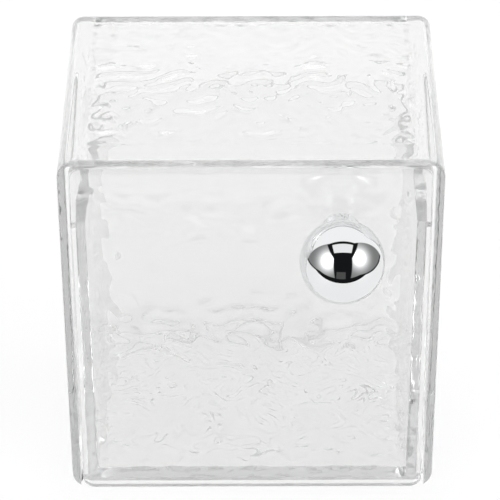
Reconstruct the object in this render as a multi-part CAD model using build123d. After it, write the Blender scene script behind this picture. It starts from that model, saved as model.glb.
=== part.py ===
"""Cotton pad holder with drawer: a clear moulded box, open at the front, and one clear drawer in it.

Frame: X to the right, front toward -Y, +Z up. The origin is the centre of the case's base, which
stands on z = 0. Each piece is first modelled with the case's front face in the plane y = 0, and
moved forward by half the case's depth when it is written. All sizes are in millimetres.
"""
import os

from build123d import *

# Case: one moulding with a top, a base, a back and two sides
CASE_WIDTH = 100.0
CASE_DEPTH = 73.8
CASE_HEIGHT = 109.5
SIDE_WALL = 2.25
TOP_WALL = 1.8
BASE_WALL = 2.2
BACK_WALL = 2.2
CASE_FRONT_CORNER_R = 5.5       # long outer corners at the front face; they taper toward the back
CASE_BACK_CORNER_R = 3.65
CASE_BACK_EDGE_R = 1.0          # edge all round the back face
CASE_MOUTH_EDGE_R = 0.4         # outer edge all round the open front
CASE_INNER_CORNER_R = 1.0
BASE_SETBACK = 5.0              # the base stops this far behind the front face

# Drawer: one moulding with a tall front plate, a tray behind it and a rim round the tray
PLATE_WIDTH = 94.2
PLATE_BOTTOM_Z = 0.3
PLATE_TOP_Z = 107.1
PLATE_THICK = 3.2
PLATE_CORNER_R = 3.3
PLATE_EDGE_R = 0.5
TRAY_WIDTH = 91.4
TRAY_BACK_Y = 70.9
TRAY_BOTTOM_Z = 2.5
TRAY_TOP_Z = 89.0
FLOOR_THICK = 3.6
WALL_TOP = 2.35                 # tray walls are thinner at the top: the draft of the mould's core
WALL_BOTTOM = 2.9
RIM_HEIGHT = 1.75
RIM_OVERHANG = 1.2
RIM_BACK_OVERHANG = 0.4

# Knob: a ball on a short neck, held from inside the drawer by one small screw
KNOB_X = 23.3
KNOB_Z = 88.0
KNOB_R = 11.0
KNOB_REACH = 14.7               # from the drawer's front to the ball's centre
NECK_R = 5.2
NECK_BLEND_R = 1.2              # hollow where the neck meets the ball
NECK_EDGE = 0.3
SCREW_R = 1.5
SCREW_LENGTH = 12.0
SCREW_HOLE_R = 1.7
TAPPED_R = 1.52
TAPPED_DEPTH = 10.0
HEAD_R = 2.75
HEAD_HEIGHT = 1.8
HEAD_EDGE_R = 0.6
CROSS_LENGTH = 3.2
CROSS_WIDTH = 0.7
CROSS_DEPTH = 1.1

OVERCUT = 1.0                   # how far a cutting shape runs past the face that it opens


def front_plane(y):
    """A sketch plane at this y: its x is the object's X, its y is Z, and it faces the front."""
    return Plane(origin=(0, y, 0), x_dir=(1, 0, 0), z_dir=(0, -1, 0))


def block(x0, x1, y0, y1, z0, z1):
    """A box between two corners."""
    centre = ((x0 + x1) / 2, (y0 + y1) / 2, (z0 + z1) / 2)
    return Pos(*centre) * Box(x1 - x0, y1 - y0, z1 - z0)


def along_y(x, z, y0, y1, radius):
    """A cylinder whose axis runs along Y."""
    return Pos(x, (y0 + y1) / 2, z) * Rot(90, 0, 0) * Cylinder(radius, y1 - y0)


def edges_at_y(shape, y):
    """The edges that lie wholly in the plane at this y."""
    return [e for e in shape.edges() if all(abs(v.Y - y) < 0.001 for v in e.vertices())]


def corner_outside(y, radius):
    """What a corner of this radius leaves of a square one, for the case's top right corner."""
    x = CASE_WIDTH / 2
    z = CASE_HEIGHT
    with BuildSketch(front_plane(y)) as sketch:
        with BuildLine():
            RadiusArc((x - radius, z), (x, z - radius), radius)
            Polyline((x, z - radius), (x + OVERCUT, z - radius), (x + OVERCUT, z + OVERCUT),
                     (x - radius, z + OVERCUT), (x - radius, z))
        make_face()
    return sketch.sketch


def corner_waste():
    """The waste along one long edge of the case; the corner it leaves tapers toward the back."""
    front = corner_outside(0, CASE_FRONT_CORNER_R)
    back = corner_outside(CASE_DEPTH, CASE_BACK_CORNER_R)
    return loft([front, back])


def case():
    """The outer shell, hollowed from the front, with the base cut back behind the drawer's front."""
    half = CASE_WIDTH / 2
    outer = block(-half, half, 0, CASE_DEPTH, 0, CASE_HEIGHT)
    for waste in (corner_waste(), corner_waste().mirror(Plane.YZ)):
        upside_down = waste.mirror(Plane.XY.offset(CASE_HEIGHT / 2))
        outer = outer - waste - upside_down
    outer = fillet(edges_at_y(outer, CASE_DEPTH), CASE_BACK_EDGE_R)
    outer = fillet(edges_at_y(outer, 0), CASE_MOUTH_EDGE_R)
    inside = half - SIDE_WALL
    hollow = block(-inside, inside, 0, CASE_DEPTH - BACK_WALL, BASE_WALL, CASE_HEIGHT - TOP_WALL)
    hollow = fillet(hollow.edges().filter_by(Axis.Y), CASE_INNER_CORNER_R)
    mouth = block(-inside, inside, -OVERCUT, BASE_SETBACK, -OVERCUT, BASE_WALL + CASE_INNER_CORNER_R)
    return outer - hollow - mouth


def drawer_plate():
    """The tall front plate, with rounded corners and softened edges, and the screw's hole."""
    height = PLATE_TOP_Z - PLATE_BOTTOM_Z
    outline = RectangleRounded(PLATE_WIDTH, height, PLATE_CORNER_R)
    sketch = front_plane(PLATE_THICK) * Pos(0, PLATE_BOTTOM_Z + height / 2) * outline
    plate = extrude(sketch, PLATE_THICK)
    plate = fillet(edges_at_y(plate, 0), PLATE_EDGE_R)
    return plate - along_y(KNOB_X, KNOB_Z, -OVERCUT, PLATE_THICK + OVERCUT, SCREW_HOLE_R)


def tray_hollow(half):
    """The space inside the tray: it widens upward, and starts at the back of the front plate."""
    levels = [(TRAY_BOTTOM_Z + FLOOR_THICK, WALL_BOTTOM), (TRAY_TOP_Z, WALL_TOP)]
    sections = []
    for z, wall in levels:
        depth = TRAY_BACK_Y - wall - PLATE_THICK
        outline = Rectangle(2 * (half - wall), depth)
        sections.append(Pos(0, PLATE_THICK + depth / 2, z) * outline)
    return loft(sections)


def tray():
    """Floor, two side walls and back wall, drafted inside, with a rim round the top."""
    half = TRAY_WIDTH / 2
    body = block(-half, half, PLATE_THICK, TRAY_BACK_Y, TRAY_BOTTOM_Z, TRAY_TOP_Z)
    lip = half + RIM_OVERHANG
    rim = block(-lip, lip, PLATE_THICK, TRAY_BACK_Y + RIM_BACK_OVERHANG,
                TRAY_TOP_Z - RIM_HEIGHT, TRAY_TOP_Z)
    return body + rim - tray_hollow(half)


def drawer():
    """The drawer's front plate and tray as one moulding."""
    return drawer_plate() + tray()


def knob():
    """The ball and its neck in one piece, with the tapped hole for the screw."""
    ball = Pos(KNOB_X, -KNOB_REACH, KNOB_Z) * Sphere(KNOB_R)
    neck = along_y(KNOB_X, KNOB_Z, -KNOB_REACH, 0, NECK_R)
    neck = chamfer(edges_at_y(neck, 0), NECK_EDGE)
    body = ball + neck
    junction_y = (KNOB_R ** 2 - NECK_R ** 2) ** 0.5 - KNOB_REACH
    body = fillet(edges_at_y(body, junction_y), NECK_BLEND_R)
    return body - along_y(KNOB_X, KNOB_Z, -TAPPED_DEPTH, OVERCUT, TAPPED_R)


def screw():
    """A small round-head screw with a cross recess, driven from inside the drawer toward -Y."""
    seat = PLATE_THICK
    top = seat + HEAD_HEIGHT
    head = along_y(KNOB_X, KNOB_Z, seat, top, HEAD_R)
    head = fillet(edges_at_y(head, top), HEAD_EDGE_R)
    for wide, tall in ((CROSS_LENGTH, CROSS_WIDTH), (CROSS_WIDTH, CROSS_LENGTH)):
        head -= block(KNOB_X - wide / 2, KNOB_X + wide / 2, top - CROSS_DEPTH, top + OVERCUT,
                      KNOB_Z - tall / 2, KNOB_Z + tall / 2)
    return head + along_y(KNOB_X, KNOB_Z, seat - SCREW_LENGTH, seat, SCREW_R)


PIECES = {
    "case": case,
    "drawer": drawer,
    "knob": knob,
    "knob_screw": screw,
}

os.makedirs("parts", exist_ok=True)
for name, make in PIECES.items():
    shape = Pos(0, -CASE_DEPTH / 2, 0) * make()
    export_step(shape, f"parts/{name}.step")
    box = shape.bounding_box()
    print(name, len(shape.solids()), round(shape.volume), box.min, box.max)
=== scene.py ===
"""Cotton pad holder with drawer: a clear rippled case and drawer, and a chrome ball knob."""
import math

import bmesh
import bpy
from bpy.props import FloatProperty, FloatVectorProperty, PointerProperty
from mathutils import Matrix, Vector


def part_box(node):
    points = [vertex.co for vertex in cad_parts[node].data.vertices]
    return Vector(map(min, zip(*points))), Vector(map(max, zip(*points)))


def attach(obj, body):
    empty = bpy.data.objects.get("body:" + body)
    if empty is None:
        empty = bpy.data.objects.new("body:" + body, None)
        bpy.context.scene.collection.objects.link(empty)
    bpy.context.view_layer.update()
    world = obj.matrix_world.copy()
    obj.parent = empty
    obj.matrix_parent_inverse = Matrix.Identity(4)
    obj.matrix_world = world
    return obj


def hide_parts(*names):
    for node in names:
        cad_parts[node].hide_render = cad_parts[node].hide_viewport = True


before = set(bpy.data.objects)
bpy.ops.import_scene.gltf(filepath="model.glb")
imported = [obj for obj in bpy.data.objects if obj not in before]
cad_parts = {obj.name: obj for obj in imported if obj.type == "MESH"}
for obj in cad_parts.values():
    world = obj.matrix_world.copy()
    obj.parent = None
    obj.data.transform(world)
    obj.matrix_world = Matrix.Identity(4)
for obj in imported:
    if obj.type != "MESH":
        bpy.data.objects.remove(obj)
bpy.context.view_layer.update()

bl_info = {
    "name": "Cotton pad holder with drawer",
    "version": (1, 0, 0),
    "blender": (4, 5, 0),
    "location": "3D View > Sidebar > Pad Holder",
    "description": "Builds a clear cotton pad holder with a rippled case, a drawer and a ball knob",
    "category": "Add Mesh",
}

MM = 0.001
CASE_LOW, CASE_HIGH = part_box("case")
DRAWER_LOW, DRAWER_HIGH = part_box("drawer")
KNOB_LOW, KNOB_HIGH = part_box("knob")
SCREW_LOW, SCREW_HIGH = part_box("knob_screw")
FRONT_Y = CASE_LOW[1]
KNOB_X = (KNOB_LOW[0] + KNOB_HIGH[0]) / 2
KNOB_Z = (KNOB_LOW[2] + KNOB_HIGH[2]) / 2
NEAR = 0.02 * MM                # two places closer than this are the same
OVERCUT = 1 * MM                # how far a cutting shape runs past the face that it opens
CORNER_CLEARANCE = 0.2 * MM     # from a face's round corner to the cuts that frame its middle


def linear(hex_colour):
    """The linear colour, with alpha, of an sRGB hex value."""
    parts = [int(hex_colour[i:i + 2], 16) / 255 for i in (1, 3, 5)]
    lit = [p / 12.92 if p <= 0.04045 else ((p + 0.055) / 1.055) ** 2.4 for p in parts]
    return (*lit, 1.0)


def length(name, text, size_mm):
    """A length property whose default is given in millimetres."""
    return FloatProperty(name=name, description=text, default=size_mm * MM, unit="LENGTH",
                         subtype="DISTANCE", precision=5)


def colour(name, text, hex_colour):
    """A colour property whose default is an sRGB hex value."""
    return FloatVectorProperty(name=name, description=text, default=linear(hex_colour), size=4,
                               subtype="COLOR", min=0, max=1)


# --- sizes and colours ---------------------------------------------------------------------------


class CaseSizes(bpy.types.PropertyGroup):
    """The walls, corners and edges of the case."""
    side_wall: length("Side wall", "Thickness of each side", 2.25)
    top_wall: length("Top wall", "Thickness of the top", 1.8)
    base_wall: length("Base wall", "Thickness of the base", 2.2)
    back_wall: length("Back wall", "Thickness of the back", 2.2)
    front_corner: length("Front corner", "Radius of the long corners at the front", 5.5)
    back_corner: length("Back corner", "Radius of the long corners at the back", 3.65)
    back_edge: length("Back edge", "Radius all round the back", 1.0)
    mouth_edge: length("Mouth edge", "Radius of the outer edge round the open front", 0.4)
    inner_corner: length("Inner corner", "Radius of the long corners inside", 1.0)
    base_setback: length("Base setback", "How far the base stops behind the front", 5.0)


class DrawerSizes(bpy.types.PropertyGroup):
    """The front plate and the tray of the drawer."""
    plate_thick: length("Plate thickness", "Thickness of the front plate", 3.2)
    plate_corner: length("Plate corner", "Radius of the plate's corners", 3.3)
    plate_edge: length("Plate edge", "Radius of the plate's front edge", 0.5)
    tray_width: length("Tray width", "Width across the tray's walls", 91.4)
    tray_length: length("Tray length", "From the back of the plate to the back of the tray", 67.7)
    tray_bottom: length("Tray underside", "Height of the tray's underside", 2.5)
    tray_top: length("Tray top", "Height of the tray's rim", 89.0)
    floor_thick: length("Tray floor", "Thickness of the tray's floor", 3.6)
    wall_top: length("Wall at the top", "Thickness of the tray's walls at the rim", 2.35)
    wall_bottom: length("Wall at the floor", "Thickness of the tray's walls at the floor", 2.9)
    rim_height: length("Rim height", "Height of the rim round the tray", 1.75)
    rim_overhang: length("Rim overhang", "How far the rim stands out at the sides", 1.2)
    rim_back: length("Rim overhang behind", "How far the rim stands out at the back", 0.4)
    outer_corner: length("Outer corner", "Radius outside the tray's back corners", 4.0)
    inner_corner: length("Inner corner", "Radius inside the tray's back corners", 2.0)
    pad_radius: length("Pad radius", "Radius of the flat pad that the knob stands on", 5.6)
    hole_radius: length("Screw hole", "Radius of the hole for the knob's screw", 1.7)


class KnobSizes(bpy.types.PropertyGroup):
    """The ball knob and its screw."""
    ball_radius: length("Ball radius", "Radius of the ball", 11.0)
    reach: length("Reach", "From the drawer's front to the ball's centre", 14.7)
    neck_radius: length("Neck radius", "Radius of the neck behind the ball", 5.2)
    neck_blend: length("Neck blend", "Radius of the hollow between the neck and the ball", 1.2)
    neck_edge: length("Neck edge", "Chamfer at the end of the neck", 0.3)
    tapped_radius: length("Tapped radius", "Radius of the ball's tapped hole", 1.52)
    tapped_depth: length("Tapped depth", "Depth of the ball's tapped hole", 10.0)
    thread_radius: length("Thread radius", "Outer radius of the screw's thread", 1.5)
    thread_pitch: length("Thread pitch", "Pitch of the screw's thread", 0.5)
    thread_depth: length("Thread depth", "Depth of the screw's thread", 0.28)
    head_radius: length("Head radius", "Radius of the screw's head", 2.75)
    head_height: length("Head height", "Height of the screw's head", 1.8)
    head_edge: length("Head edge", "Radius of the head's outer edge", 0.6)
    cross_length: length("Cross length", "Length of each slot of the cross recess", 3.2)
    cross_width: length("Cross width", "Width of each slot of the cross recess", 0.7)
    cross_depth: length("Cross depth", "Depth of the cross recess", 1.1)


class ReliefSizes(bpy.types.PropertyGroup):
    """The water-like ripple moulded into the outer faces."""
    border: length("Border", "Width of the smooth border round each rippled face", 2.0)
    fade: length("Fade", "Width over which the ripple starts inside the border", 2.5)
    swell_depth: length("Swell depth", "Depth of the broad swell", 0.5)
    swell_size: length("Swell size", "Size of the broad swell", 13.0)
    wave_depth: length("Wave depth", "Depth of the hollows between the crested waves", 0.95)
    wave_size: length("Wave size", "Size of the crested waves", 5.5)
    grid: length("Grid", "Spacing of the mesh on the rippled faces", 0.7)


class Finishes(bpy.types.PropertyGroup):
    """The colours of the materials."""
    plastic: colour("Clear plastic", "Tint of the clear moulded plastic", "#FAFAFA")
    edge_tint: colour("Edge tint", "Colour that the plastic keeps over a long way", "#BCBDBD")
    passed_light: colour("Passed light", "What a clear face lets straight through", "#FFFFFF")
    chrome: colour("Chrome", "Colour of the plated ball", "#E7E8E9")
    zinc: colour("Zinc", "Colour of the screw's zinc plating", "#BFC1C4")
    zinc_dull: colour("Dull zinc", "Colour of the duller crystals of the zinc", "#A9ACB0")
    table: colour("Table", "Colour of the table under the holder", "#FCFCFC")
    studio_white: colour("Studio white", "Colour of the backdrop and the light boxes", "#FFFFFF")
    studio_dark: colour("Studio dark", "Colour of the unlit part in front", "#191A1B")
    studio_veil: colour("Studio veil", "How dark that part gets through the clear walls", "#BEBEBE")


# --- modelling in edit mode ----------------------------------------------------------------------


def add_block(name, low, high):
    """A new box between two corners, with nothing else selected."""
    bpy.ops.object.select_all(action="DESELECT")
    centre = [(a + b) / 2 for a, b in zip(low, high)]
    size = [b - a for a, b in zip(low, high)]
    bpy.ops.mesh.primitive_cube_add(size=1, location=centre, scale=size)
    return settle(name)


def add_rod(name, radius, low_y, high_y, sides):
    """A new cylinder along Y on the knob's axis."""
    bpy.ops.object.select_all(action="DESELECT")
    bpy.ops.mesh.primitive_cylinder_add(vertices=sides, radius=radius, depth=high_y - low_y,
                                        location=(KNOB_X, (low_y + high_y) / 2, KNOB_Z),
                                        rotation=(math.radians(90), 0, 0))
    return settle(name)


def settle(name):
    """Names the active object and puts its place into its mesh."""
    piece = bpy.context.object
    piece.name = name
    piece.data.name = name
    bpy.ops.object.transform_apply(location=True, rotation=True, scale=True)
    return piece


def pick(piece, mode, test):
    """Selects only the vertices, edges or faces that pass a test, in edit mode."""
    bpy.ops.object.select_all(action="DESELECT")
    piece.select_set(True)
    bpy.context.view_layer.objects.active = piece
    bpy.ops.object.mode_set(mode="EDIT")
    bpy.ops.mesh.select_mode(type=mode)
    mesh = bmesh.from_edit_mesh(piece.data)
    parts = {"VERT": mesh.verts, "EDGE": mesh.edges, "FACE": mesh.faces}[mode]
    for kind in (mesh.verts, mesh.edges, mesh.faces):
        for part in kind:
            part.select = False
    for part in parts:
        if test(part):
            part.select_set(True)
    bmesh.update_edit_mesh(piece.data)


def leave():
    """Back to object mode."""
    bpy.ops.object.mode_set(mode="OBJECT")


def along(axis):
    """A test for edges that run along an axis, give or take the taper of the corners."""
    def test(edge):
        run = edge.verts[1].co - edge.verts[0].co
        return run.length > NEAR and abs(run[axis]) > 0.99 * run.length
    return test


def within(axis, level):
    """A test for edges and faces that lie wholly in the plane across an axis at a level."""
    return lambda part: all(abs(v.co[axis] - level) < NEAR for v in part.verts)


def soften(piece, test, radius, segments):
    """Rounds the edges that pass a test."""
    pick(piece, "EDGE", test)
    bpy.ops.mesh.bevel(offset=radius, segments=segments, affect="EDGES", clamp_overlap=False)
    leave()


def frame_middle(piece, level, radius, low, high):
    """Cuts the face across Y at a level clear of its corners, so its middle is a rectangle."""
    clear = radius + CORNER_CLEARANCE
    for axis in (0, 2):
        for place in (low[axis] + clear, high[axis] - clear):
            cut(piece, within(1, level), axis, place)


def cut(piece, test, axis, level):
    """Cuts the faces that pass a test by the plane across an axis at a level."""
    pick(piece, "FACE", test)
    place = [0, 0, 0]
    place[axis] = level
    normal = [0, 0, 0]
    normal[axis] = 1
    bpy.ops.mesh.bisect(plane_co=place, plane_no=normal)
    leave()


def subtract(piece, cutter):
    """Cuts one piece out of another, and deletes the cutter."""
    modifier = piece.modifiers.new("Cut", "BOOLEAN")
    modifier.operation = "DIFFERENCE"
    modifier.solver = "EXACT"
    modifier.object = cutter
    apply_modifier(piece, modifier)
    bpy.data.objects.remove(cutter)


def apply_modifier(piece, modifier):
    """Applies one modifier of a piece."""
    bpy.ops.object.select_all(action="DESELECT")
    piece.select_set(True)
    bpy.context.view_layer.objects.active = piece
    bpy.ops.object.modifier_apply(modifier=modifier.name)


def finish_piece(piece, body, node, material, angle=30):
    """Shades a piece and gives it its material, its body and the node that it replaces."""
    bpy.ops.object.select_all(action="DESELECT")
    piece.select_set(True)
    bpy.context.view_layer.objects.active = piece
    bpy.ops.object.shade_smooth_by_angle(angle=math.radians(angle))
    piece.data.materials.clear()
    piece.data.materials.append(material)
    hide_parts(node)
    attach(piece, body)


# --- the ripple ----------------------------------------------------------------------------------


def smooth_step(value):
    """0 to 1 with flat ends."""
    value = min(max(value, 0), 1)
    return value * value * (3 - 2 * value)


PANEL_LEAST = (30 * MM) ** 2    # a flat rectangle smaller than this isn't rippled
FIRST_CUTS = 2                  # the fine cuts follow in a second pass: one pass makes at most 100


def ripple_panel(piece, axis, level, share, sizes, pad=None):
    """Insets the flat face in a plane by the border, divides it finely, and weights it.

    A pad, given by its centre and radius, stays flat.
    """
    pick(piece, "FACE", lambda face: within(axis, level)(face) and len(face.verts) == 4
         and face.calc_area() > PANEL_LEAST)
    bpy.ops.mesh.inset(thickness=sizes.border, use_even_offset=True)
    mesh = bmesh.from_edit_mesh(piece.data)
    widest = max(edge.calc_length() for edge in mesh.edges if edge.select)
    bpy.ops.mesh.subdivide(number_cuts=FIRST_CUTS)
    bpy.ops.mesh.subdivide(number_cuts=int(widest / sizes.grid / (FIRST_CUTS + 1)))
    mesh = bmesh.from_edit_mesh(piece.data)
    chosen = [v.index for v in mesh.verts if v.select]
    leave()
    spots = [piece.data.vertices[i].co for i in chosen]
    low = [min(s[k] for s in spots) for k in range(3)]
    high = [max(s[k] for s in spots) for k in range(3)]
    flat = [k for k in range(3) if k != axis]
    group = piece.vertex_groups.get("ripple") or piece.vertex_groups.new(name="ripple")
    for index, spot in zip(chosen, spots):
        inside = min(min(spot[k] - low[k], high[k] - spot[k]) for k in flat)
        if pad:
            inside = min(inside, (spot - pad[0]).length - pad[1])
        group.add([index], share * smooth_step(inside / sizes.fade), "REPLACE")


HIGHEST = 0.95                  # the swell's texture stays below this value, so it only goes inward
CREST_ROUNDS = 2                # rounds of smoothing on the crests of the waves


def ripple(piece, sizes):
    """Sinks the rippled faces below their borders: a broad swell, and waves that meet at crests."""
    layers = (("swell", "SOFT_NOISE", sizes.swell_size, sizes.swell_depth, HIGHEST),
              ("waves", "HARD_NOISE", sizes.wave_size, -sizes.wave_depth, 0))
    for name, kind, size, depth, level in layers:
        texture = bpy.data.textures.new(piece.name + "_" + name, "CLOUDS")
        texture.noise_basis = "ORIGINAL_PERLIN"
        texture.noise_type = kind
        texture.noise_depth = 0
        texture.noise_scale = size
        modifier = piece.modifiers.new(name, "DISPLACE")
        modifier.texture = texture
        modifier.texture_coords = "LOCAL"
        modifier.vertex_group = "ripple"
        modifier.strength = depth
        modifier.mid_level = level
        apply_modifier(piece, modifier)
    modifier = piece.modifiers.new("Soft crests", "SMOOTH")
    modifier.vertex_group = "ripple"
    modifier.iterations = CREST_ROUNDS
    apply_modifier(piece, modifier)


# --- materials -----------------------------------------------------------------------------------


def add_node(tree, kind, inputs=None, **settings):
    """Adds a node with its settings; an input is a plain value or the socket to link to it."""
    node = tree.nodes.new(kind)
    for key, value in settings.items():
        setattr(node, key, value)
    for key, value in (inputs or {}).items():
        if isinstance(value, bpy.types.NodeSocket):
            tree.links.new(value, node.inputs[key])
        else:
            node.inputs[key].default_value = value
    return node


def new_material(name):
    """An empty node material and its tree."""
    material = bpy.data.materials.get(name) or bpy.data.materials.new(name)
    material.use_nodes = True
    material.node_tree.nodes.clear()
    return material, material.node_tree


def maths(tree, operation, *values):
    """What a Math node makes of these numbers or sockets."""
    return add_node(tree, "ShaderNodeMath", dict(enumerate(values)), operation=operation).outputs[0]


def vectors(tree, operation, *values):
    """What a Vector Math node makes of these: a number for a dot product, else a vector."""
    node = add_node(tree, "ShaderNodeVectorMath", dict(enumerate(values)), operation=operation)
    return node.outputs["Value" if operation == "DOT_PRODUCT" else "Vector"]


def ramp(tree, value, low=0.0, high=1.0, start=0.0, end=1.0, **settings):
    """Takes a value that runs from low to high to one that runs from start to end."""
    inputs = {"Value": value, "From Min": low, "From Max": high, "To Min": start, "To Max": end}
    return add_node(tree, "ShaderNodeMapRange", inputs, **settings).outputs["Result"]


MIX_FIRST, MIX_SECOND, MIX_RESULT = 6, 7, 2     # a Mix node's sockets for colours


def mixed(tree, share, first, second):
    """The first colour where the share is 0, and the second where it is 1."""
    node = add_node(tree, "ShaderNodeMix", {"Factor": share, MIX_FIRST: first, MIX_SECOND: second},
                    data_type="RGBA")
    return node.outputs[MIX_RESULT]


def bumps(tree, height, strength, distance):
    """A surface direction that a height pattern tilts, by this distance between low and high."""
    node = add_node(tree, "ShaderNodeBump", {"Height": height, "Strength": strength,
                                             "Distance": distance})
    return node.outputs["Normal"]


def grain(tree, size, detail=2):
    """A noise pattern whose features are about this size, in metres, fixed to the piece."""
    place = add_node(tree, "ShaderNodeTexCoord").outputs["Object"]
    noise = add_node(tree, "ShaderNodeTexNoise", {"Vector": place, "Scale": 1 / size,
                                                  "Detail": detail})
    return noise.outputs["Fac"]


def finish_surface(tree, shader, **more):
    """The material's output, from its shader and from a volume if it has one."""
    add_node(tree, "ShaderNodeOutputMaterial", {"Surface": shader, **more})


ACRYLIC_IOR = 1.49
# How grey the plastic turns, per metre: 80 mm of the case's wall keeps about 55 % of the light
CASE_DENSITY, DRAWER_DENSITY = 15.0, 9.5
TRAPPED_TURNS = 16              # light that has turned more often than this is let out of its wall


def moulded_acrylic(name, density):
    """Clear acrylic, injection moulded in a polished tool: colourless, with a hard gloss."""
    finishes = bpy.context.scene.pad_holder_finishes
    material, tree = new_material(name)
    flow = bumps(tree, grain(tree, 7 * MM), 1.0, 0.1 * MM)
    shader = add_node(tree, "ShaderNodeBsdfPrincipled", {
        "Base Color": finishes.plastic, "Roughness": 0.0, "IOR": ACRYLIC_IOR,
        "Transmission Weight": 1.0, "Normal": flow})
    # Light on its way to the table passes straight through. So does light that has turned many
    # times between the faces of one wall, which the real, less perfect edges let out
    path = add_node(tree, "ShaderNodeLightPath").outputs
    trapped = maths(tree, "GREATER_THAN", path["Ray Depth"], TRAPPED_TURNS)
    passing = maths(tree, "MAXIMUM", path["Is Shadow Ray"], path["Is Diffuse Ray"])
    passing = maths(tree, "MAXIMUM", passing, trapped)
    clear = add_node(tree, "ShaderNodeBsdfTransparent", {"Color": finishes.passed_light})
    mix = add_node(tree, "ShaderNodeMixShader", {
        0: passing, 1: shader.outputs["BSDF"], 2: clear.outputs["BSDF"]})
    # Seen along a wall the plastic turns grey, as it does at every edge of the real holder
    depth = add_node(tree, "ShaderNodeVolumeAbsorption", {
        "Color": finishes.edge_tint, "Density": density})
    finish_surface(tree, mix.outputs[0], Volume=depth.outputs["Volume"])
    return material


def polished_chrome():
    """Bright chrome plating over a polished ball: a clean mirror with faint haze in patches."""
    finishes = bpy.context.scene.pad_holder_finishes
    material, tree = new_material("polished_chrome_plate")
    haze = ramp(tree, grain(tree, 4 * MM), 0.35, 0.7, 0.015, 0.05)
    waves = bumps(tree, grain(tree, 6 * MM, 0), 0.5, 0.01 * MM)
    shader = add_node(tree, "ShaderNodeBsdfPrincipled", {
        "Base Color": finishes.chrome, "Metallic": 1.0, "Roughness": haze, "Normal": waves})
    finish_surface(tree, shader.outputs["BSDF"])
    return material


def zinc_plate():
    """Bright zinc on a rolled steel screw: a soft grey metal with crystal-fine mottling."""
    finishes = bpy.context.scene.pad_holder_finishes
    material, tree = new_material("bright_zinc_plate")
    mottle = grain(tree, 0.4 * MM)
    tone = mixed(tree, mottle, finishes.zinc_dull, finishes.zinc)
    rough = ramp(tree, mottle, start=0.4, end=0.22)
    pits = bumps(tree, grain(tree, 0.15 * MM), 0.6, 0.01 * MM)
    shader = add_node(tree, "ShaderNodeBsdfPrincipled", {
        "Base Color": tone, "Metallic": 1.0, "Roughness": rough, "Normal": pits})
    finish_surface(tree, shader.outputs["BSDF"])
    return material


def matt_laminate():
    """The studio table's matt white laminate: an even, slightly mottled sheen."""
    finishes = bpy.context.scene.pad_holder_finishes
    material, tree = new_material("matt_white_laminate")
    rough = ramp(tree, grain(tree, 2 * MM), start=0.5, end=0.7)
    shader = add_node(tree, "ShaderNodeBsdfPrincipled", {
        "Base Color": finishes.table, "Roughness": rough, "Specular IOR Level": 0.2})
    finish_surface(tree, shader.outputs["BSDF"])
    return material


# --- pieces --------------------------------------------------------------------------------------


# The case's rippled faces: the axis across each, its level, and its share of the ripple's depth
RIPPLED_FACES = ((0, CASE_LOW[0], 0.25), (0, CASE_HIGH[0], 0.25), (1, CASE_HIGH[1], 0.6),
                 (2, CASE_LOW[2], 0.9), (2, CASE_HIGH[2], 1.3))
FRONT_RIPPLE = 0.7              # the same share for the drawer's front


def build_case(sizes, relief):
    """The case as a hollowed block with corners that taper toward the back."""
    piece = add_block("case_shell", CASE_LOW, CASE_HIGH)
    soften(piece, along(1), sizes.front_corner, 10)
    shrink = sizes.back_corner / sizes.front_corner
    for x in (CASE_LOW[0], CASE_HIGH[0]):
        for z in (CASE_LOW[2], CASE_HIGH[2]):
            corner = Vector((x, CASE_HIGH[1], z))
            reach = sizes.front_corner + NEAR
            pick(piece, "VERT", lambda v: abs(v.co.y - corner.y) < NEAR
                 and abs(v.co.x - corner.x) < reach and abs(v.co.z - corner.z) < reach)
            bpy.ops.transform.resize(value=(shrink, 1, shrink), center_override=corner)
            leave()
    soften(piece, within(1, CASE_HIGH[1]), sizes.back_edge, 4)
    soften(piece, within(1, FRONT_Y), sizes.mouth_edge, 3)
    notch_y = FRONT_Y + sizes.base_setback
    cut(piece, lambda face: True, 1, notch_y)
    inside = CASE_HIGH[0] - sizes.side_wall
    hollow = add_block("hollow", (-inside, FRONT_Y - OVERCUT, CASE_LOW[2] + sizes.base_wall),
                       (inside, CASE_HIGH[1] - sizes.back_wall, CASE_HIGH[2] - sizes.top_wall))
    soften(hollow, along(1), sizes.inner_corner, 4)
    subtract(piece, hollow)
    mouth = add_block("mouth", (-inside, FRONT_Y - OVERCUT, CASE_LOW[2] - OVERCUT),
                      (inside, notch_y, CASE_LOW[2] + sizes.base_wall + sizes.inner_corner))
    subtract(piece, mouth)
    frame_middle(piece, CASE_HIGH[1], sizes.back_corner, CASE_LOW, CASE_HIGH)
    for axis, level, share in RIPPLED_FACES:
        ripple_panel(piece, axis, level, share, relief)
    ripple(piece, relief)
    return piece


FLAT_ANGLE = math.radians(0.05)     # faces that turn less than this are one flat face


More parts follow.
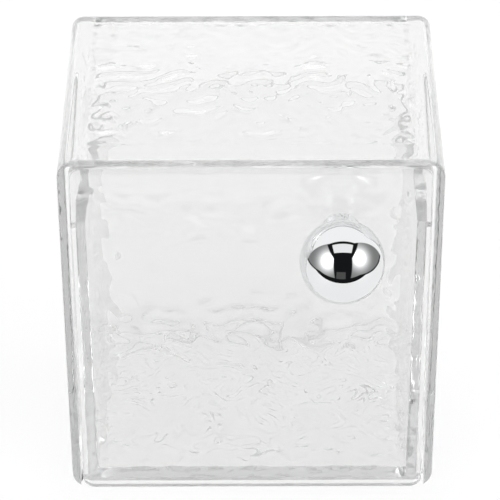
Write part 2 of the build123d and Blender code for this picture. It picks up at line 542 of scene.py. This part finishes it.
def build_drawer(sizes, relief):
    """The drawer: a plate whose back is drawn out into a tray, hollowed from the top."""
    back_y = FRONT_Y + sizes.plate_thick
    piece = add_block("drawer_tray", DRAWER_LOW, (DRAWER_HIGH[0], back_y, DRAWER_HIGH[2]))
    soften(piece, along(1), sizes.plate_corner, 8)
    soften(piece, within(1, FRONT_Y), sizes.plate_edge, 3)
    half = sizes.tray_width / 2
    lip = half + sizes.rim_overhang
    rim_z = sizes.tray_top - sizes.rim_height
    for axis, level in ((2, sizes.tray_bottom), (2, rim_z), (2, sizes.tray_top),
                        (0, -half), (0, half), (0, -lip), (0, lip)):
        cut(piece, within(1, back_y), axis, level)

    def tray_section(face):
        """True for the faces on the plate's back that the tray and its rim grow from."""
        spot = face.calc_center_median()
        wide = lip if spot.z > rim_z else half
        inside = abs(spot.x) < wide and sizes.tray_bottom < spot.z < sizes.tray_top
        return inside and within(1, back_y)(face)

    pick(piece, "FACE", tray_section)
    bpy.ops.mesh.extrude_region_move(TRANSFORM_OT_translate={"value": (0, sizes.tray_length, 0)})
    leave()
    tray_back = back_y + sizes.tray_length
    pick(piece, "FACE", lambda face: within(1, tray_back)(face)
         and face.calc_center_median().z > rim_z)
    bpy.ops.mesh.extrude_region_move(TRANSFORM_OT_translate={"value": (0, sizes.rim_back, 0)})
    leave()
    hollow_half = half - sizes.wall_top
    hollow_back = tray_back - sizes.wall_top
    for axis, level in ((0, -hollow_half), (0, hollow_half), (1, hollow_back)):
        cut(piece, within(2, sizes.tray_top), axis, level)

    def opening(face):
        """True for the faces on the tray's top that its hollow is sunk from."""
        spot = face.calc_center_median()
        inside = abs(spot.x) < hollow_half and spot.y < hollow_back
        return inside and within(2, sizes.tray_top)(face)

    floor_z = sizes.tray_bottom + sizes.floor_thick
    pick(piece, "FACE", opening)
    drop = floor_z - sizes.tray_top
    bpy.ops.mesh.extrude_region_move(TRANSFORM_OT_translate={"value": (0, 0, drop)})
    draft = sizes.wall_bottom - sizes.wall_top
    narrow = (hollow_half - draft) / hollow_half
    shorten = (hollow_back - draft - back_y) / (hollow_back - back_y)
    bpy.ops.transform.resize(value=(narrow, shorten, 1), center_override=(0, back_y, floor_z))
    leave()
    # The cuts that are left in flat faces go. Those in the plate's back stay, because which of
    # them would go isn't the same in each run
    pick(piece, "FACE", lambda face: not within(1, back_y)(face))
    bpy.ops.mesh.dissolve_limited(angle_limit=FLAT_ANGLE)
    leave()

    def column(edge, side, back):
        """True for upright edges this far to a side and this far back, give or take the draft."""
        reach = draft + NEAR
        return along(2)(edge) and all(abs(abs(v.co.x) - side) < reach and abs(v.co.y - back) < reach
                                      for v in edge.verts)

    soften(piece, lambda edge: column(edge, half, tray_back)
           or column(edge, lip, tray_back + sizes.rim_back), sizes.outer_corner, 8)
    soften(piece, lambda edge: column(edge, hollow_half, hollow_back), sizes.inner_corner, 6)
    frame_middle(piece, FRONT_Y, sizes.plate_corner, DRAWER_LOW, DRAWER_HIGH)
    pad = (Vector((KNOB_X, FRONT_Y, KNOB_Z)), sizes.pad_radius)
    ripple_panel(piece, 1, FRONT_Y, FRONT_RIPPLE, relief, pad)
    ripple(piece, relief)
    subtract(piece, add_rod("hole", sizes.hole_radius, FRONT_Y - OVERCUT, back_y + OVERCUT, 32))
    return piece


BALL_SEGMENTS, BALL_RINGS = 128, 96
BLEND_STEPS = 8                 # steps round the hollow between the ball and the neck


def build_knob(sizes):
    """A ball drawn out into a neck, with the tapped hole for the screw."""
    bpy.ops.object.select_all(action="DESELECT")
    centre = Vector((KNOB_X, FRONT_Y - sizes.reach, KNOB_Z))
    bpy.ops.mesh.primitive_uv_sphere_add(segments=BALL_SEGMENTS, ring_count=BALL_RINGS,
                                         radius=sizes.ball_radius, location=centre,
                                         rotation=(math.radians(90), 0, 0))
    piece = settle("ball_knob")
    # The blend is a hollow arc that touches the ball and the neck
    side = sizes.neck_radius + sizes.neck_blend
    arc_y = centre.y + math.sqrt((sizes.ball_radius + sizes.neck_blend) ** 2 - side ** 2)
    touch = math.asin(side / (sizes.ball_radius + sizes.neck_blend))
    touch_y = centre.y + sizes.ball_radius * math.cos(touch)
    pick(piece, "FACE", lambda face: face.calc_center_median().y > touch_y)
    bpy.ops.mesh.delete(type="FACE")
    leave()
    profile = []
    for step in range(BLEND_STEPS + 1):
        angle = touch + (math.pi / 2 - touch) * step / BLEND_STEPS
        profile.append((side - sizes.neck_blend * math.sin(angle),
                        arc_y - sizes.neck_blend * math.cos(angle)))
    profile.append((sizes.neck_radius, FRONT_Y - sizes.neck_edge))
    profile.append((sizes.neck_radius - sizes.neck_edge, FRONT_Y))
    pick(piece, "EDGE", lambda edge: edge.is_boundary)
    mesh = bmesh.from_edit_mesh(piece.data)
    rim = [v for v in mesh.verts if v.select]
    y = sum(v.co.y for v in rim) / len(rim)
    radius = math.hypot(rim[0].co.x - centre.x, rim[0].co.z - centre.z)
    for next_radius, next_y in profile:
        bpy.ops.mesh.extrude_region_move(TRANSFORM_OT_translate={"value": (0, next_y - y, 0)})
        k = next_radius / radius
        bpy.ops.transform.resize(value=(k, 1, k), center_override=(centre.x, next_y, centre.z))
        y, radius = next_y, next_radius
    bpy.ops.mesh.edge_face_add()
    bpy.ops.mesh.inset(thickness=radius - sizes.tapped_radius)
    bpy.ops.mesh.extrude_region_move(TRANSFORM_OT_translate={"value": (0, -sizes.tapped_depth, 0)})
    bpy.ops.mesh.select_all(action="SELECT")
    bpy.ops.mesh.normals_make_consistent(inside=False)
    leave()
    return piece


THREAD_SIDES = 24               # also the number of steps in one turn of the thread
THREAD_LEVELS = 6               # rings of vertices in one turn


def build_screw(sizes):
    """The screw: a cross-recessed round head and a shank with a helical thread."""
    seat_y = SCREW_HIGH[1] - sizes.head_height
    head = add_rod("screw_with_thread", sizes.head_radius, seat_y, SCREW_HIGH[1], 48)
    soften(head, within(1, SCREW_HIGH[1]), sizes.head_edge, 5)
    cross_y = SCREW_HIGH[1] - sizes.cross_depth
    slot_size = (sizes.cross_length, sizes.cross_width)
    for wide, tall in (slot_size, slot_size[::-1]):
        slot = add_block("slot", (KNOB_X - wide / 2, cross_y, KNOB_Z - tall / 2),
                         (KNOB_X + wide / 2, SCREW_HIGH[1] + OVERCUT, KNOB_Z + tall / 2))
        subtract(head, slot)
    shank = add_rod("shank", sizes.thread_radius, SCREW_LOW[1], seat_y, THREAD_SIDES)
    levels = round((seat_y - SCREW_LOW[1]) / sizes.thread_pitch * THREAD_LEVELS)
    rise = (seat_y - SCREW_LOW[1]) / levels
    pick(shank, "EDGE", along(1))
    bpy.ops.mesh.subdivide(number_cuts=levels - 1)
    leave()

    def step_of(vertex):
        """Which step of its turn of the thread a vertex is on."""
        angle = math.atan2(vertex.co.z - KNOB_Z, vertex.co.x - KNOB_X) / (2 * math.pi)
        level = round((vertex.co.y - SCREW_LOW[1]) / rise)
        return round(angle * THREAD_SIDES + level * THREAD_SIDES / THREAD_LEVELS) % THREAD_SIDES

    for step in range(1, THREAD_SIDES):
        sunk = sizes.thread_depth * (1 - abs(2 * step / THREAD_SIDES - 1))
        size = 1 - sunk / sizes.thread_radius
        pick(shank, "VERT", lambda v: step_of(v) == step)
        bpy.ops.transform.resize(value=(size, 1, size), center_override=(KNOB_X, 0, KNOB_Z))
        leave()
    bpy.ops.object.select_all(action="DESELECT")
    shank.select_set(True)
    head.select_set(True)
    bpy.context.view_layer.objects.active = head
    bpy.ops.object.join()
    return head


# --- stage ---------------------------------------------------------------------------------------

# The camera's lens, place and tilt were fitted to the outline in the photograph
LENS_MM = 189.83
SENSOR_MM = 36
CAMERA_PLACE = (0.00157, -0.6010, 0.4792)
CAMERA_PITCH = 35.191
CAMERA_ROLL = -0.157
CLIP_NEAR, CLIP_FAR = 0.05, 20
PICTURE_SIZE = 500
AXIS_PIXEL_X = 257.25           # the column of the picture that the lens points at
CLEAR_BOUNCES = 40
TABLE_LEFT, TABLE_RIGHT, TABLE_FRONT, TABLE_BACK = -0.65, 0.38, -0.417, 0.9
TABLE_DROP = 0.1 * MM           # the table lies this far under the case, so that no faces coincide


def build_camera():
    """The camera at the photograph's viewing angle."""
    data = bpy.data.cameras.new("view")
    camera = bpy.data.objects.new("view", data)
    bpy.context.scene.collection.objects.link(camera)
    data.sensor_width = SENSOR_MM
    data.lens = LENS_MM
    data.shift_x = (PICTURE_SIZE / 2 - AXIS_PIXEL_X) / PICTURE_SIZE
    data.clip_start = CLIP_NEAR
    data.clip_end = CLIP_FAR
    tilt = Matrix.Rotation(math.radians(90 - CAMERA_PITCH), 4, "X")
    roll = Matrix.Rotation(math.radians(CAMERA_ROLL), 4, "Z")
    camera.matrix_world = Matrix.Translation(CAMERA_PLACE) @ tilt @ roll
    bpy.context.scene.camera = camera


def build_table():
    """The white table that the holder stands on; it ends in front, where the room is dark."""
    bpy.ops.object.select_all(action="DESELECT")
    middle = ((TABLE_LEFT + TABLE_RIGHT) / 2, (TABLE_FRONT + TABLE_BACK) / 2, -TABLE_DROP)
    size = (TABLE_RIGHT - TABLE_LEFT, TABLE_BACK - TABLE_FRONT, 1)
    bpy.ops.mesh.primitive_plane_add(size=1, location=middle, scale=size)
    table = settle("table")
    table.data.materials.append(matt_laminate())


def heading(azimuth, elevation):
    """The direction at an azimuth, from the front toward the right, and an elevation."""
    a, e = math.radians(azimuth), math.radians(elevation)
    return (math.sin(a) * math.cos(e), -math.cos(a) * math.cos(e), math.sin(e))


# The white sweep is on the inner side of these two planes, right and left, and behind the holder
SWEEP_SIDES = ((-0.535, 1, 0.284), (0.295, 1, 0.183))
SWEEP_EDGE = (0.02, 0.05)       # where, past a plane, it starts and is at its full light
SWEEP_LIGHT = 1.08
# Each light box: azimuth and elevation of its hot spot, and the plane along its inner edge
LIGHT_BOXES = (((-48, 28), (-1.0, 0.38, -0.23)), ((57, 32), (1.0, 0.38, -0.23)))
# A box's brightness, and the power of the cosine that dims it away from the hot spot: tube, cloth
BOX_GLOW = ((8.0, 60), (1.55, 10))
BOX_RIM = 0.24                  # brightness of the rest of a box
BOX_EDGE = 0.05                 # width of a box's soft edges, as a direction
BOX_SHOULDER = (1.2, 0.394)     # a box's upper edge is where |x| is this times z, less this
BOX_GAP = 0.03                  # how far, as a direction, its foot is above the table's edges
FOOT_EDGE = 0.02                # width of the foot's soft edge
# The table's front, left and right edges, as planes through the knob
TABLE_EDGES = ((0, -0.24, 1), (-0.131, 0, 1), (0.246, 0, 1))
PANEL_CENTRE, PANEL_HALF = (0.0, -0.335), (0.49, 0.25)      # overhead, as x / z and y / z
PATCH_CENTRE, PATCH_HALF = (-0.085, -0.04), (0.215, 0.18)   # in front, as x / -y and z / -y
PATCH_LIGHT = 0.09
PANEL_EDGE = 0.94               # a panel's soft edge starts at this share of its half size


def flat_panel(tree, depth, across, centre, half):
    """1 inside a rectangle on the plane at unit depth, seen from the holder, and 0 outside it."""
    plane = add_node(tree, "ShaderNodeCombineXYZ", {0: depth, 1: depth, 2: 1.0}).outputs[0]
    spot = vectors(tree, "DIVIDE", across, plane)
    spot = vectors(tree, "SUBTRACT", spot, (*centre, 0))
    spot = vectors(tree, "DIVIDE", spot, (*half, 1))
    spot = vectors(tree, "ABSOLUTE", spot)
    spot = add_node(tree, "ShaderNodeSeparateXYZ", {0: spot}).outputs
    edge = maths(tree, "MAXIMUM", spot["X"], spot["Y"])
    inside = ramp(tree, edge, 1.0, PANEL_EDGE)
    facing = maths(tree, "GREATER_THAN", depth, 0.0)
    return maths(tree, "MULTIPLY", inside, facing)


def light_boxes(tree, way, x, z, light):
    """The light with the two boxes added: under their shoulder, and wherever the table isn't."""
    slope, offset = BOX_SHOULDER
    aside = maths(tree, "ABSOLUTE", x)
    shoulder = maths(tree, "MULTIPLY_ADD", z, -slope, aside)
    below = ramp(tree, shoulder, -offset, BOX_EDGE - offset)
    foot = -1.0
    for edge_normal in TABLE_EDGES:
        foot = maths(tree, "MAXIMUM", vectors(tree, "DOT_PRODUCT", way, edge_normal), foot)
    above = ramp(tree, foot, BOX_GAP, BOX_GAP + FOOT_EDGE)
    upright_part = maths(tree, "MULTIPLY", below, above)
    for hot_spot, edge_normal in LIGHT_BOXES:
        aim = vectors(tree, "DOT_PRODUCT", way, heading(*hot_spot))
        near = maths(tree, "MAXIMUM", aim, 0.0)
        glow = BOX_RIM
        for peak, power in BOX_GLOW:
            lobe = maths(tree, "POWER", near, power)
            glow = maths(tree, "MULTIPLY_ADD", lobe, peak, glow)
        edge = vectors(tree, "DOT_PRODUCT", way, edge_normal)
        inside = ramp(tree, edge, 0.0, BOX_EDGE)
        box = maths(tree, "MULTIPLY", glow, inside)
        box = maths(tree, "MULTIPLY", box, upright_part)
        light = maths(tree, "MAXIMUM", light, box)
    return light


def build_world():
    """The studio, painted by direction: a white sweep behind, a panel above, two light boxes."""
    world = bpy.data.worlds.new("studio")
    bpy.context.scene.world = world
    world.use_nodes = True
    tree = world.node_tree
    tree.nodes.clear()
    finishes = bpy.context.scene.pad_holder_finishes
    way = add_node(tree, "ShaderNodeTexCoord").outputs["Generated"]
    x, y, z = add_node(tree, "ShaderNodeSeparateXYZ", {0: way}).outputs
    right, left = [vectors(tree, "DOT_PRODUCT", way, side) for side in SWEEP_SIDES]
    sides = maths(tree, "MINIMUM", right, left)
    sweep = maths(tree, "MINIMUM", sides, y)
    light = ramp(tree, sweep, *SWEEP_EDGE, interpolation_type="SMOOTHSTEP")
    light = maths(tree, "MULTIPLY", light, SWEEP_LIGHT)
    panel = flat_panel(tree, z, way, PANEL_CENTRE, PANEL_HALF)
    light = maths(tree, "MAXIMUM", light, panel)
    ahead = maths(tree, "MULTIPLY", y, -1.0)
    upright = add_node(tree, "ShaderNodeCombineXYZ", {0: x, 1: z, 2: 0.0}).outputs[0]
    patch = flat_panel(tree, ahead, upright, PATCH_CENTRE, PATCH_HALF)
    patch = maths(tree, "MULTIPLY", patch, PATCH_LIGHT)
    light = maths(tree, "MAXIMUM", light, patch)
    light = light_boxes(tree, way, x, z, light)
    # The unlit part is grey through the clear walls and dark in reflections; the camera sees white
    path = add_node(tree, "ShaderNodeLightPath").outputs
    bright = add_node(tree, "ShaderNodeVectorMath", {0: finishes.studio_white[:3], "Scale": light},
                      operation="SCALE").outputs[0]
    unlit = mixed(tree, path["Is Transmission Ray"], finishes.studio_dark, finishes.studio_veil)
    lit = vectors(tree, "MAXIMUM", bright, unlit)
    seen = mixed(tree, path["Is Camera Ray"], lit, finishes.studio_white)
    shine = add_node(tree, "ShaderNodeBackground", {"Color": seen})
    add_node(tree, "ShaderNodeOutputWorld", {"Surface": shine.outputs["Background"]})


# --- operators and panel -------------------------------------------------------------------------


class PADHOLDER_OT_case(bpy.types.Operator):
    """Build the clear case with its rippled faces"""
    bl_idname = "pad_holder.case"
    bl_label = "Case"

    def execute(self, context):
        scene = context.scene
        piece = build_case(scene.pad_holder_case, scene.pad_holder_relief)
        material = moulded_acrylic("clear_acrylic_case", CASE_DENSITY)
        finish_piece(piece, "case", "case", material)
        return {"FINISHED"}


class PADHOLDER_OT_drawer(bpy.types.Operator):
    """Build the clear drawer with its rippled front"""
    bl_idname = "pad_holder.drawer"
    bl_label = "Drawer"

    def execute(self, context):
        scene = context.scene
        piece = build_drawer(scene.pad_holder_drawer, scene.pad_holder_relief)
        material = moulded_acrylic("clear_acrylic_drawer", DRAWER_DENSITY)
        finish_piece(piece, "drawer", "drawer", material)
        return {"FINISHED"}


class PADHOLDER_OT_knob(bpy.types.Operator):
    """Build the ball knob and the screw that holds it"""
    bl_idname = "pad_holder.knob"
    bl_label = "Knob and screw"

    def execute(self, context):
        sizes = context.scene.pad_holder_knob
        finish_piece(build_knob(sizes), "drawer", "knob", polished_chrome(), 40)
        finish_piece(build_screw(sizes), "drawer", "knob_screw", zinc_plate())
        return {"FINISHED"}


class PADHOLDER_OT_stage(bpy.types.Operator):
    """Set up the table, the studio light and the camera"""
    bl_idname = "pad_holder.stage"
    bl_label = "Stage"

    def execute(self, context):
        build_table()
        build_world()
        build_camera()
        context.scene.view_settings.view_transform = "Standard"
        # A ray crosses up to a dozen clear faces on the way in, and as many on the way out
        context.scene.cycles.max_bounces = CLEAR_BOUNCES
        context.scene.cycles.transmission_bounces = CLEAR_BOUNCES
        context.scene.cycles.glossy_bounces = CLEAR_BOUNCES
        context.scene.cycles.transparent_max_bounces = CLEAR_BOUNCES
        return {"FINISHED"}


class PADHOLDER_PT_panel(bpy.types.Panel):
    """The holder's pieces and sizes in the sidebar"""
    bl_label = "Pad Holder"
    bl_idname = "PADHOLDER_PT_panel"
    bl_space_type = "VIEW_3D"
    bl_region_type = "UI"
    bl_category = "Pad Holder"

    def draw(self, context):
        for operator in OPERATORS:
            self.layout.operator(operator.bl_idname)
        for name, group in GROUPS.items():
            box = self.layout.box()
            box.label(text=group.__doc__)
            for key in group.__annotations__:
                box.prop(getattr(context.scene, name), key)


GROUPS = {
    "pad_holder_case": CaseSizes,
    "pad_holder_drawer": DrawerSizes,
    "pad_holder_knob": KnobSizes,
    "pad_holder_relief": ReliefSizes,
    "pad_holder_finishes": Finishes,
}
OPERATORS = (PADHOLDER_OT_case, PADHOLDER_OT_drawer, PADHOLDER_OT_knob, PADHOLDER_OT_stage)
CLASSES = (*GROUPS.values(), *OPERATORS, PADHOLDER_PT_panel)


def register():
    """Registers the classes and puts the property groups on the scene."""
    for each in CLASSES:
        bpy.utils.register_class(each)
    for name, group in GROUPS.items():
        setattr(bpy.types.Scene, name, PointerProperty(type=group))


def unregister():
    """Takes away what register added."""
    for name in GROUPS:
        delattr(bpy.types.Scene, name)
    for each in reversed(CLASSES):
        bpy.utils.unregister_class(each)


def main():
    """Builds the holder and its stage."""
    register()
    bpy.ops.pad_holder.case()
    bpy.ops.pad_holder.drawer()
    bpy.ops.pad_holder.knob()
    bpy.ops.pad_holder.stage()


if __name__ == "__main__":
    main()
